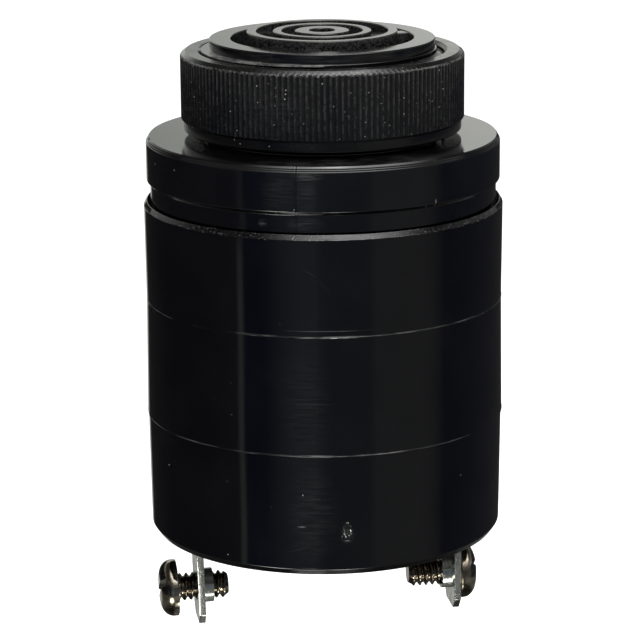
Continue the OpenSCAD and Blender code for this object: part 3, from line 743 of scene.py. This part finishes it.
# Pale marks on the ring, in the same way: the teeth's upper ends, worn and with a painted highlight,
# a painted highlight on its chamfer and painted light on its top in front, a faint pale patch on the
# knurl, and lint on the teeth
RING_RUBS_AND_HIGHLIGHTS = [
    (-167, knurl_r, ring_high - 0.5, 7, 0.13, 0.3), (-125, knurl_r, ring_high - 0.5, 8, 0.1, 0.12),
    (-85, knurl_r, ring_high - 0.5, 6, 0.1, 0.16), (-52, knurl_r, ring_high - 0.5, 9, 0.12, 0.3),
    (-18, knurl_r, ring_high - 0.5, 8, 0.13, 0.34), (-88, 16.5, ring_high - 0.2, 5, 0.4, 0.18),
    (-92, 15.6, ring_high, 7, 0.2, 0.05), (-118, knurl_r, 5.5, 6, 4, 0.02),
    (-75.5, knurl_r, 6.2, 0.13, 0.09, 0.9), (-114, knurl_r, 4.4, 0.1, 0.09, 0.8),
    (-89, knurl_r, 5.0, 0.3, 0.06, 0.6), (-50, knurl_r, 5.6, 0.12, 0.1, 0.8),
]
# Films: dust over the whole knurl, and a thicker pale band on its teeth's upper ends that is part
# dust and wear and part painted highlight
RING_DUST_AND_HIGHLIGHT_FILMS = [
    (knurl_r - 0.04, knurl_r + 1, ring_low + 1, ring_high, 1300, 0.36, 0.03),
    (knurl_r - 0.22, knurl_r + 1, ring_high - 0.66, ring_high - 0.38, 2600, 0.45, 0.26),
]

ring_black = moulded_plastic("ring_black", (0.0028, 0.0028, 0.0026), (0.0056, 0.0056, 0.0052),
                             0.2, 0.004, 0.5, RING_RUBS_AND_HIGHLIGHTS, RING_DUST_AND_HIGHLIGHT_FILMS)
bore_rows = 48
bore_from = ring_high - 0.4
bore_to = ring_low + 0.4
ring_outline = (
    rounded([
        (bore_r + 0.28, ring_low, 0.05), (lip_r, ring_low, 0.22), (lip_r, ring_low + lip_h, 0.05),
        (knurl_r, ring_low + lip_h + 0.3, 0.05), (knurl_r, ring_high - 0.57, 0),
        (knurl_r - 0.1, ring_high - 0.4, 0), (knurl_r - 0.17, ring_high - 0.347, 0),
        (knurl_r - 0.63, ring_high, 0.08), (bore_r + 0.28, ring_high, 0.06)])
    + [Vector((bore_r, bore_from + (bore_to - bore_from) * k / bore_rows)) for k in range(bore_rows + 1)]
)
mounting_ring = turned("mounting_ring_moulding", ring_outline, round_angles(knurl_teeth * knurl_columns))
with_nodes(mounting_ring, pressed_grooves, Crest=knurl_r * MM, Depth=knurl_depth * MM,
           Starts=float(knurl_teeth), Flat_share=0.15, Low=(ring_low + lip_h + 0.1) * MM,
           High=(ring_high + 1) * MM, Run_out=0.15 * MM, Material=ring_black)
with_nodes(mounting_ring, pressed_grooves, Crest=bore_r * MM, Depth=bore_depth * MM, Starts=1.0,
           Turns_per_metre=1 / (neck_pitch * MM), End_turn=neck_end_turn,
           Last_crest=(neck_last_crest + 2 * neck_pitch) * MM, Flat_share=0.12, Low=bore_to * MM,
           High=bore_from * MM, Run_out=0.4 * MM, Bore=True, Material=ring_black)
smooth(mounting_ring, 30)
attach(mounting_ring, "ring")
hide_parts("mounting_ring")

# --- Rear case ----------------------------------------------------------------
# The long black cup glued over the spigot. It is moulded in a three-part tool, which leaves two
# ragged lines of flash round it, and it was filled through a gate that left a mark near its end.
case_in = 19.78
end_z = -48.28
end_chamfer = 0.52
end_chamfer_h = 0.75
low_z = -33.7
high_z = -19.6
high_r = 21.39
mid_r = 21.55
low_r = 21.46
end_r = 21.29
flash = 0.05
flash_h = 0.12
gate_bearing = -92.2
gate_z = -42.85
gate_h = 1.25
gate_half_w = 0.62
gate_taper = 0.2
gate_rim = 0.045
gate_deep = 0.02
gate_ragged = 0.09
# Pale marks on the case, in the same way: a pale band on its rim at the front, painted highlights
# along the low and high lines of flash and on a step just above the high one, a pale patch at the foot,
# painted highlights round the gate's rim, scratches on the upper, middle and lower bands, and painted
# reflections of a light band down the middle and lower bands
CASE_RUBS_AND_HIGHLIGHTS = [
    (-92, case_r, rim_z - 0.3, 6.5, 0.5, 0.09), (-118, mid_r, low_z, 7, 0.16, 0.16),
    (-101, mid_r, low_z, 4.5, 0.22, 0.42), (-84, mid_r, low_z, 6, 0.16, 0.22),
    (-62, mid_r, low_z, 7, 0.14, 0.12), (-142, mid_r, low_z, 5, 0.14, 0.16),
    (-97, high_r, high_z, 6, 0.17, 0.24), (-118, high_r, high_z, 5, 0.16, 0.15),
    (-76, high_r, high_z, 6, 0.14, 0.15), (-52, high_r, high_z, 7, 0.13, 0.1),
    (-97, high_r, high_z + 0.72, 6.4, 0.09, 0.1), (-104.3, high_r, high_z - 0.05, 1.5, 0.12, 0.26, 2),
    (-92.5, high_r, high_z - 0.08, 0.9, 0.1, 0.22, 0), (-104.5, end_r, end_z + 0.42, 2.4, 0.6, 0.3),
    (gate_bearing, end_r, gate_z - 0.2, 0.8, 1.3, 0.04),
    (gate_bearing, end_r, gate_z + 1.02, 0.18, 0.14, 0.3, 0),
    (gate_bearing, end_r, gate_z - 1.15, 0.42, 0.1, 0.18, 0),
    (gate_bearing - 0.9, end_r, gate_z - 0.1, 0.08, 0.8, 0.2, 8),
    (gate_bearing + 0.9, end_r, gate_z - 0.3, 0.08, 0.6, 0.16, -8),
    (gate_bearing - 1.7, end_r, gate_z - 0.6, 0.09, 0.16, 0.2, 0),
    (-103.3, high_r, -12.07, 1.3, 0.07, 0.018, -32), (-98.7, high_r, -13.7, 1.5, 0.07, 0.013, -50),
    (-105.8, mid_r, -26.95, 2.2, 0.08, 0.02, 0), (-103.3, mid_r, -27.5, 3.5, 0.08, 0.028, 0),
    (-105, mid_r, -28, 3.4, 9, 0.011), (-103, low_r, -40.5, 3.2, 7, 0.02),
    (-106.4, low_r, -42.3, 0.65, 0.1, 0.2, 0), (-107.5, low_r, -44.4, 1.4, 0.07, 0.016, 24),
    (-107.2, low_r, -45.1, 2.4, 0.07, 0.022, 14),
]

# The case's black, with a film of pale flecks round its open rim
case_black = moulded_plastic("case_black", (0.0014, 0.0014, 0.0016), (0.0027, 0.0027, 0.003),
                             0.08, 0.0016, 0.008, CASE_RUBS_AND_HIGHLIGHTS,
                             [(case_r - 0.9, case_r + 1, rim_z - 0.75, rim_z + 1, 5600, 0.62, 1.1)])


def gate_mark(across, up):
    """Height of the gate's mark at a place in millimetres from its middle: a shallow hollow, wider
    below than above, with a thin raised rim and a ragged floor where the stub broke off."""
    half = gate_half_w - gate_taper * up
    edge = 1 - math.hypot(across / half, up / gate_h)
    rim = gate_rim * math.exp(-(edge / 0.09) ** 2)
    if edge <= 0:
        return rim
    ragged = noise.noise(Vector((across * 4.5, up * 3.5, 0.3)))
    return rim + min(1, edge / 0.3) * (gate_ragged * ragged - gate_deep)


def case_shape(angle, r, z):
    """What isn't even round the case: ragged flash, and the gate's mark."""
    if r < end_r - 0.1:
        return r
    spot = Vector((math.cos(angle) * 9, math.sin(angle) * 9, z))
    for line_z, body_r in ((low_z, mid_r), (high_z, high_r)):
        if line_z - flash_h - 0.01 < z < line_z + 0.01 and r > body_r + 0.01:
            return body_r + (r - body_r) * min(0.95, 0.7 + 0.9 * noise.noise(spot))
    if z > rim_z - 0.7:
        return r + 0.03 * (noise.noise(spot * 1.5) - 0.5)
    off = (angle - math.radians(gate_bearing) + math.pi) % (2 * math.pi) - math.pi
    across, up = off * r, z - gate_z
    if abs(across) < 1.2 and abs(up) < 1.6:
        return r + gate_mark(across, up)
    return r


gate_rows = 44
case_outline = (
    rounded([(case_in, rim_z, 0.05), (case_in, end_z, 0.08), (end_r - end_chamfer, end_z, 0.12),
             (end_r, end_z + end_chamfer_h, 0.12)])
    + [Vector((end_r + (low_r - end_r) * (z - end_z) / (low_z - end_z), z))
       for z in [gate_z - 1.7 + 3.4 * k / gate_rows for k in range(gate_rows + 1)]]
    + rounded([
        (low_r, low_z - flash_h, 0), (mid_r + flash, low_z - flash_h * 0.6, 0),
        (mid_r + flash, low_z - 0.02, 0), (mid_r, low_z, 0), (mid_r, low_z + 0.04, 0),
        (high_r, high_z - flash_h - 0.04, 0), (high_r, high_z - flash_h, 0),
        (high_r + flash, high_z - flash_h * 0.6, 0), (high_r + flash, high_z - 0.02, 0), (high_r, high_z, 0),
        (high_r, high_z + 0.04, 0), (case_r, rim_z - 0.7, 0.1), (case_r - 0.42, rim_z, 0.05)])
)
rear_case = turned("rear_case_moulding", case_outline,
                   round_angles(360, [(math.radians(gate_bearing), 0.062, 44)]), case_shape)
smooth(rear_case, 30)
dressed(rear_case, case_black)
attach(rear_case, "housing")
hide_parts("rear_case")

# --- End sealant --------------------------------------------------------------
# Black epoxy poured over the back of the circuit board, a little below the case's open end. It set
# with a slight skin and a few bubbles.


def poured_epoxy():
    """Dull black resin with a few shallow flow marks and small bubbles."""
    material, tree, surface = shader_tree("poured_epoxy")
    here = placed(tree, "ShaderNodeTexCoord").outputs["Object"]
    flow = noise_of(tree, here, 150, 3)
    bubbles = placed(tree, "ShaderNodeTexVoronoi", Vector=here, Scale=420).outputs["Distance"]
    skin = placed(tree, "ShaderNodeBump", Distance=0.06 * MM, Height=mapped(tree, bubbles, 0, 0.16))
    waves = placed(tree, "ShaderNodeBump", Distance=0.3 * MM, Height=flow, Normal=skin.outputs[0])
    shader = placed(tree, "ShaderNodeBsdfPrincipled", IOR=1.55, Normal=waves.outputs[0],
                    Base_Color=between_colours(tree, flow, (0.006, 0.006, 0.007), (0.016, 0.016, 0.017)),
                    Roughness=mapped(tree, flow, 0, 1, 0.28, 0.5))
    tree.links.new(shader.outputs[0], surface)
    return material


dressed(nodes["end_sealant"], poured_epoxy())

# --- Terminals ----------------------------------------------------------------
# Two flat blades of tin-plated brass that come through the sealant, each with a threaded collar
# on its inner face. The left one leans inwards a little, as it was bent when the screw went in.
blade_x = 16.08
blade_t = 0.81
sealant_z = -47.4
screw_z = -56.15
left_lean = math.radians(1.5)


def plated(name, dark, light, patch, roughness, streak, bump, torn_edge=None):
    """Plated metal with soft patches between a dark and a light colour. roughness is its range, patch
    and streak the scales of the patches and of the skin's lines, and bump the skin's in millimetres.
    Past torn_edge from the middle, along Y, is the rough face that the press left where it sheared."""
    material, tree, surface = shader_tree(name)
    here = placed(tree, "ShaderNodeTexCoord").outputs["Object"]
    spread = mapped(tree, noise_of(tree, here, patch, 4), 0.36, 0.66)
    lines = placed(tree, "ShaderNodeMapping", Vector=here, Scale=streak).outputs[0]
    normal = placed(tree, "ShaderNodeBump", Distance=bump * MM,
                    Height=noise_of(tree, lines, 1, 3)).outputs[0]
    if torn_edge:
        reach = calculated(tree, "ABSOLUTE", placed(tree, "ShaderNodeSeparateXYZ", here).outputs[1])
        torn = calculated(tree, "GREATER_THAN", reach, torn_edge)
        tear = calculated(tree, "MULTIPLY", noise_of(tree, here, 3200, 3, 0.6), torn)
        normal = placed(tree, "ShaderNodeBump", Distance=0.02 * MM, Normal=normal, Height=tear).outputs[0]
    shader = placed(tree, "ShaderNodeBsdfPrincipled", Metallic=1, Normal=normal,
                    Base_Color=between_colours(tree, spread, dark, light),
                    Roughness=mapped(tree, spread, 0, 1, *reversed(roughness)))
    tree.links.new(shader.outputs[0], surface)
    return material


blade_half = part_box("terminal_left")[1].y
tin = plated("tin_plate", (0.34, 0.355, 0.335), (0.48, 0.49, 0.46), 700, (0.15, 0.28),
             (9000, 9000, 500), 0.006, blade_half - 0.03 * MM)
for side in ("left", "right"):
    terminal = linked("terminal_blade_" + side, nodes["terminal_" + side].data.copy())
    closed(terminal.data)
    flatten = terminal.modifiers.new("flatten", "DECIMATE")
    flatten.decimate_type = "DISSOLVE"
    flatten.angle_limit = math.radians(1)
    soften = terminal.modifiers.new("soften", "BEVEL")
    soften.width = 0.07 * MM
    soften.segments = 2
    soften.limit_method = "ANGLE"
    soften.angle_limit = math.radians(35)
    settled(terminal)
    smooth(terminal, 25)
    dressed(terminal, tin)
    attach(terminal, "housing")
    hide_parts("terminal_" + side)

# --- Terminal screws ----------------------------------------------------------
# Nickel-plated binding-head screws with a straight slot, turned through the collars from outside.
# The right one is run home on its blade, and the left one stands a few turns out.
screw_r = 1.725
screw_pitch = 0.79375
screw_depth = 0.42
screw_len = 6.3
tip_h = 0.5
head_r = 3.5
head_edge = 0.6
head_h = 2.15
head_round = 2.0
drive_w = 0.9
drive_deep = 0.8
# Side, lean of its blade, gap under the head, outward direction along X, and turn of the slot
SCREWS = [("left", left_lean, 2.35, -1, math.radians(-33)), ("right", 0.0, 0.1, 1, math.radians(-40))]

nickel = plated("nickel_plate", (0.12, 0.1, 0.07), (0.4, 0.365, 0.3), 620, (0.05, 0.15),
                (3500, 3500, 3500), 0.012)
shank_rows = 110
head_steps = 9
for side, lean, gap, outward, slot_turn in SCREWS:
    # Drawn upright: the head's underside at z = 0, the shank below it
    crown = [(math.cos(t), math.sin(t)) for t in np.linspace(0, math.pi / 2, head_steps + 1)]
    tip_r = screw_r - screw_depth - 0.1
    outline = (
        [Vector((0, -screw_len))]
        + rounded([(0, -screw_len, 0), (tip_r, -screw_len, 0.08), (screw_r, tip_h - screw_len, 0)])[1:]
        + [Vector((screw_r, tip_h - screw_len + (screw_len - 0.6) * k / shank_rows))
           for k in range(shank_rows + 1)]
        + rounded([(0, 0, 0), (screw_r, 0, 0), (head_r, 0, 0.12), (head_r, head_edge, 0)])[1:]
        + [Vector((head_r - head_round * (1 - c), head_edge + (head_h - head_edge) * s))
           for c, s in crown[1:]]
        + [Vector((0, head_h))]
    )
    screw = turned("screw_" + side, outline, round_angles(72))
    with_nodes(screw, pressed_grooves, Crest=screw_r * MM, Depth=screw_depth * MM, Starts=1.0,
               Turns_per_metre=1 / (screw_pitch * MM), Last_crest=2 * screw_pitch * MM, Flat_share=0.03,
               Low=(-screw_len + 0.1) * MM, High=-0.1 * MM, Run_out=0.3 * MM, Material=nickel)
    driver = block("driver_slot", (-drive_w / 2, -2 * head_r, head_h - drive_deep),
                   (drive_w / 2, 2 * head_r, head_h + 2), 0.05)
    driver.data.transform(Matrix.Rotation(slot_turn, 4, "Z"))
    joined(screw, driver, cut=True)
    smooth(screw, 30)
    dressed(screw, nickel)
    lay_down = Matrix.Rotation(math.radians(90), 4, "Y")
    out = Matrix.Translation((blade_t / 2 * MM + gap * MM, 0, (screw_z - sealant_z) * MM))
    hang = Matrix.Translation((blade_x * MM, 0, sealant_z * MM)) @ Matrix.Rotation(lean, 4, "Y")
    screw.data.transform(hang @ out @ lay_down)
    if outward < 0:
        screw.data.transform(Matrix.Scale(-1, 4, (1, 0, 0)))
        closed(screw.data)
        smooth(screw, 30)
    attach(screw, "screw_" + side)
    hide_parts("terminal_screw_" + side)

# --- Diaphragm ----------------------------------------------------------------
# The sounder, sealed inside: a brass disc with a ceramic one bonded to it, held at its rim between
# a rubber seat and a moulded keeper that is pressed into the front.


def finished(node_name, finish, dark, light, scale, roughness, bump, stretch=(1, 1, 1), metallic=0,
             coat=0):
    """Gives a CAD piece a plain finish, mottled between two colours at a scale, with a skin of the same
    grain. stretch draws the grain out along an axis, and bump is in millimetres."""
    material, tree, surface = shader_tree(finish)
    here = placed(tree, "ShaderNodeTexCoord").outputs["Object"]
    drawn = placed(tree, "ShaderNodeMapping", Vector=here, Scale=stretch).outputs[0]
    grain = noise_of(tree, drawn, scale, 4)
    spread = mapped(tree, grain, 0.35, 0.65)
    skin = placed(tree, "ShaderNodeBump", Distance=bump * MM, Height=grain)
    shader = placed(tree, "ShaderNodeBsdfPrincipled", Metallic=metallic, Coat_Weight=coat,
                    Base_Color=between_colours(tree, spread, dark, light),
                    Roughness=mapped(tree, spread, 0, 1, roughness * 0.8, roughness * 1.2),
                    Normal=skin.outputs[0])
    tree.links.new(shader.outputs[0], surface)
    dressed(nodes[node_name], material)


finished("diaphragm_seat", "seat_rubber", (0.012, 0.012, 0.012), (0.022, 0.022, 0.021), 900, 0.75, 0.01)
finished("brass_diaphragm", "rolled_brass", (0.62, 0.46, 0.17), (0.76, 0.6, 0.27), 500, 0.28, 0.002,
         (1, 14, 1), metallic=1)
finished("ceramic_disc", "fired_silver", (0.66, 0.65, 0.6), (0.8, 0.79, 0.75), 2600, 0.45, 0.004,
         metallic=0.6)
finished("diaphragm_keeper", "keeper_plastic", (0.01, 0.01, 0.011), (0.016, 0.016, 0.017), 700, 0.3,
         0.003)

# --- Circuit board ------------------------------------------------------------
# The oscillator that drives the sounder, on a round board of paper laminate: one transistor, three
# resistors, a diode that guards against reversed leads, and two capacitors, all soldered by hand.
finished("circuit_board", "paper_laminate", (0.36, 0.24, 0.1), (0.5, 0.35, 0.17), 1400, 0.5, 0.004,
         (1, 4, 1))
finished("driver_transistor", "moulded_epoxy", (0.014, 0.014, 0.014), (0.024, 0.024, 0.024), 1800, 0.5,
         0.004)
finished("resistors", "lacquered_tan", (0.58, 0.42, 0.25), (0.7, 0.53, 0.34), 900, 0.35, 0.003,
         coat=0.4)
finished("protection_diode", "diode_epoxy", (0.012, 0.012, 0.013), (0.02, 0.02, 0.021), 1500, 0.4,
         0.003)
finished("supply_capacitor", "shrunk_sleeve", (0.01, 0.022, 0.075), (0.016, 0.032, 0.1), 300, 0.22,
         0.004, (1, 1, 5), coat=0.5)
finished("ceramic_capacitor", "dipped_bead", (0.44, 0.2, 0.05), (0.58, 0.28, 0.09), 700, 0.3, 0.006,
         coat=0.4)

# --- Wires and solder ---------------------------------------------------------
# Three thin stranded wires in coloured PVC, from the board to the sounder's two electrodes and its
# brass, each on a small bead of solder.
WIRES = [
    ("drive_wire", "red_insulation", (0.42, 0.014, 0.012), (0.54, 0.024, 0.018)),
    ("feedback_wire", "blue_insulation", (0.014, 0.045, 0.3), (0.022, 0.07, 0.42)),
    ("ground_wire", "black_insulation", (0.01, 0.01, 0.01), (0.018, 0.018, 0.018)),
]
for wire in WIRES:
    finished(*wire, 800, 0.35, 0.002)
finished("solder_joints", "solder", (0.55, 0.56, 0.57), (0.72, 0.73, 0.74), 2200, 0.3, 0.006, metallic=1)
